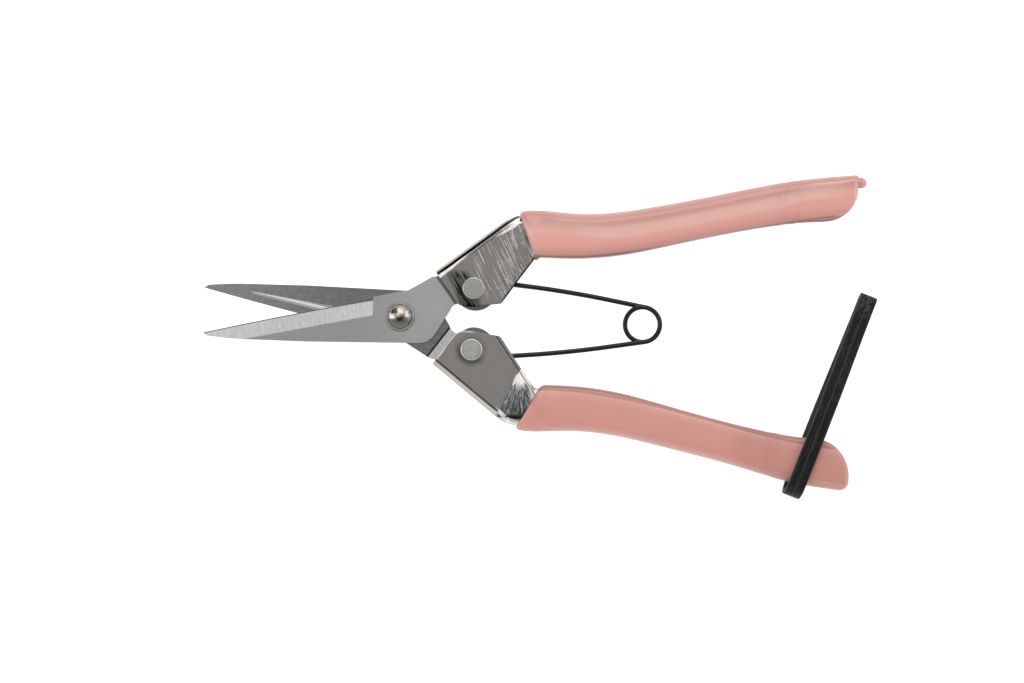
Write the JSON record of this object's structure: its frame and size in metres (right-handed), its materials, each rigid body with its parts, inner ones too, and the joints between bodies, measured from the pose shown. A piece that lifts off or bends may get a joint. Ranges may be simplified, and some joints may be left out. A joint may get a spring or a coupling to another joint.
{
  "type": "floral snips",
  "caption": "Spring-opened flower snips with two straight crossing blades, folded steel handles with dipped vinyl grips, and a closing strap.",
  "frame": {"origin": "on the pivot axis, at the flat underside of the pivot nut, which is level with the plane the snips lie on", "axes": "+X from the blade points to the handle ends, +Y to the upper handle, +Z out of the front face"},
  "size_m": [0.1932, 0.0937, 0.0104],
  "materials": {
    "blade_steel": "satin ground",
    "pivot_nickel": "polished",
    "handle_chrome": "bright plated",
    "rivet_steel": "matt",
    "spring_wire": "gloss black",
    "grip_vinyl": "dipped gloss",
    "strap_leather": "smooth black"
  },
  "bodies": {
    "lower_half": {"rear_blade": "blade_steel", "lower_handle": "handle_chrome", "lower_rivet": "rivet_steel", "lower_grip": "grip_vinyl", "pivot_bolt": "pivot_nickel", "front_washer": "pivot_nickel", "rear_washer": "pivot_nickel", "pivot_nut": "pivot_nickel"},
    "upper_half": {"front_blade": "blade_steel", "upper_handle": "handle_chrome", "upper_rivet": "rivet_steel", "upper_grip": "grip_vinyl"},
    "spring_lower_half": {"spring_lower_arm": "spring_wire"},
    "spring_upper_half": {"spring_upper_arm": "spring_wire"},
    "strap_loop": {"strap": "strap_leather"}
  },
  "joints": [
    {"name": "pivot", "type": "hinge", "parent": "lower_half", "child": "upper_half", "pos_m": [0, 0, 0.0052], "axis": [0, 0, 1], "range_deg": [-13, 0], "stiffness_Nm_per_rad": 1.5, "springref_deg": 11.46},
    {"name": "spring_foot", "type": "hinge", "parent": "lower_half", "child": "spring_lower_half", "pos_m": [0.02075, -0.0088, 0.0052], "axis": [0, 0, 1], "range_deg": [-9.4, 0]},
    {"name": "spring_coil", "type": "hinge", "parent": "spring_lower_half", "child": "spring_upper_half", "pos_m": [0.0695, 0, 0.0052], "axis": [0, 0, 1], "range_deg": [0, 5.7]},
    {"name": "strap_swing", "type": "hinge", "parent": "lower_half", "child": "strap_loop", "pos_m": [0.1159, -0.0384, 0.0052], "axis": [0, 0, 1], "range_deg": [-10.5, 0]}
  ],
  "couplings": [
    {"joint": "spring_foot", "follows": "pivot", "ratio": 0.7166},
    {"joint": "spring_coil", "follows": "pivot", "ratio": -0.4332},
    {"joint": "strap_swing", "follows": "pivot", "ratio": 0.8}
  ]
}
